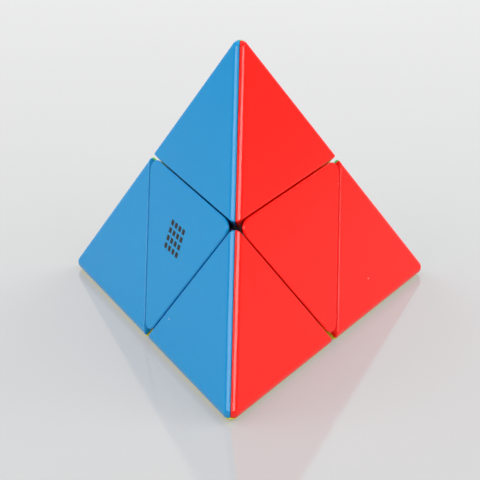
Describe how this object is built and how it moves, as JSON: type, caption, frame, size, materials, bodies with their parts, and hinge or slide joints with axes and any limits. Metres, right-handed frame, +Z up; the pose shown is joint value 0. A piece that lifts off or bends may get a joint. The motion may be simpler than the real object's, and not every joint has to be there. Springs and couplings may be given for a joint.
{
  "type": "pyramid twisty puzzle",
  "caption": "Tetrahedral twisty puzzle with a blue, red, green and yellow face, cut by planes through its centre into corner and centre pieces that turn about crossed axes.",
  "frame": {"origin": "centre of the yellow bottom face, straight below the tip", "axes": "+Z up through the tip; -Y towards the front corner, where the blue and red faces meet; +X towards the right-hand corner, along the back edge of the base"},
  "size_m": [0.0714, 0.0623, 0.0589],
  "materials": {
    "blue": "high-gloss moulded ABS, coloured through",
    "red": "high-gloss moulded ABS, coloured through",
    "green": "high-gloss moulded ABS, coloured through",
    "yellow": "high-gloss moulded ABS, coloured through",
    "black": "moulded ABS",
    "black_nylon": "low-friction nylon or POM",
    "steel": "zinc-plated steel"
  },
  "bodies": {
    "base": {"core": "black_nylon", "base_anchor": "black", "base_cap_yellow": "yellow", "anchor_screw": "steel", "screws": "steel", "springs": "steel", "locked_centre_back": "black_nylon", "locked_centre_front_left": "black_nylon", "locked_centre_front_right": "black_nylon"},
    "front_layer": {"turning_centre_front": "black_nylon", "front_frame": "black", "front_shell_blue": "blue", "front_shell_red": "red", "front_shell_yellow": "yellow", "hidden_edge_front_left": "black", "hidden_edge_front_right": "black"},
    "right_layer": {"turning_centre_right": "black_nylon", "right_frame": "black", "right_shell_red": "red", "right_shell_green": "green", "right_shell_yellow": "yellow", "hidden_edge_back_right": "black", "hidden_edge_right": "black"},
    "left_layer": {"turning_centre_left": "black_nylon", "left_frame": "black", "left_shell_blue": "blue", "left_shell_green": "green", "left_shell_yellow": "yellow", "hidden_edge_back_left": "black", "hidden_edge_left": "black"},
    "red_centre": {"red_centre_frame": "black", "red_centre_cap": "red", "hidden_edge_top_right": "black"},
    "blue_centre": {"blue_centre_frame": "black", "blue_centre_cap": "blue", "hidden_edge_top_left": "black"},
    "green_centre": {"green_centre_frame": "black", "green_centre_cap": "green", "hidden_edge_top_back": "black"},
    "apex": {"apex_frame": "black", "apex_shell_blue": "blue", "apex_shell_red": "red", "apex_shell_green": "green"}
  },
  "joints": [
    {"name": "front_turn", "type": "hinge", "parent": "base", "child": "front_layer", "pos_m": [0, 0, 0.01551], "axis": [0, -0.8165, 0.5774], "continuous": true},
    {"name": "right_turn", "type": "hinge", "parent": "base", "child": "right_layer", "pos_m": [0, 0, 0.01551], "axis": [0.7071, 0.4082, 0.5774], "range_deg": [-360, 360]},
    {"name": "left_turn", "type": "hinge", "parent": "base", "child": "left_layer", "pos_m": [0, 0, 0.01551], "axis": [-0.7071, 0.4082, 0.5774], "range_deg": [-360, 360]},
    {"name": "red_centre_turn", "type": "hinge", "parent": "front_layer", "child": "red_centre", "pos_m": [0, 0, 0.01551], "axis": [0.7071, 0.4082, 0.5774], "range_deg": [-360, 360]},
    {"name": "blue_centre_turn", "type": "hinge", "parent": "front_layer", "child": "blue_centre", "pos_m": [0, 0, 0.01551], "axis": [-0.7071, 0.4082, 0.5774], "range_deg": [-360, 360]},
    {"name": "green_centre_turn", "type": "hinge", "parent": "right_layer", "child": "green_centre", "pos_m": [0, 0, 0.01551], "axis": [-0.7071, 0.4082, 0.5774], "range_deg": [-360, 360]},
    {"name": "apex_turn", "type": "hinge", "parent": "red_centre", "child": "apex", "pos_m": [0, 0, 0.01551], "axis": [-0.7071, 0.4082, 0.5774], "range_deg": [-360, 360]}
  ],
  "couplings": [
    {"joint": "red_centre_turn", "follows": "right_turn", "ratio": 1},
    {"joint": "blue_centre_turn", "follows": "left_turn", "ratio": 1},
    {"joint": "green_centre_turn", "follows": "left_turn", "ratio": 1},
    {"joint": "apex_turn", "follows": "left_turn", "ratio": 1}
  ]
}
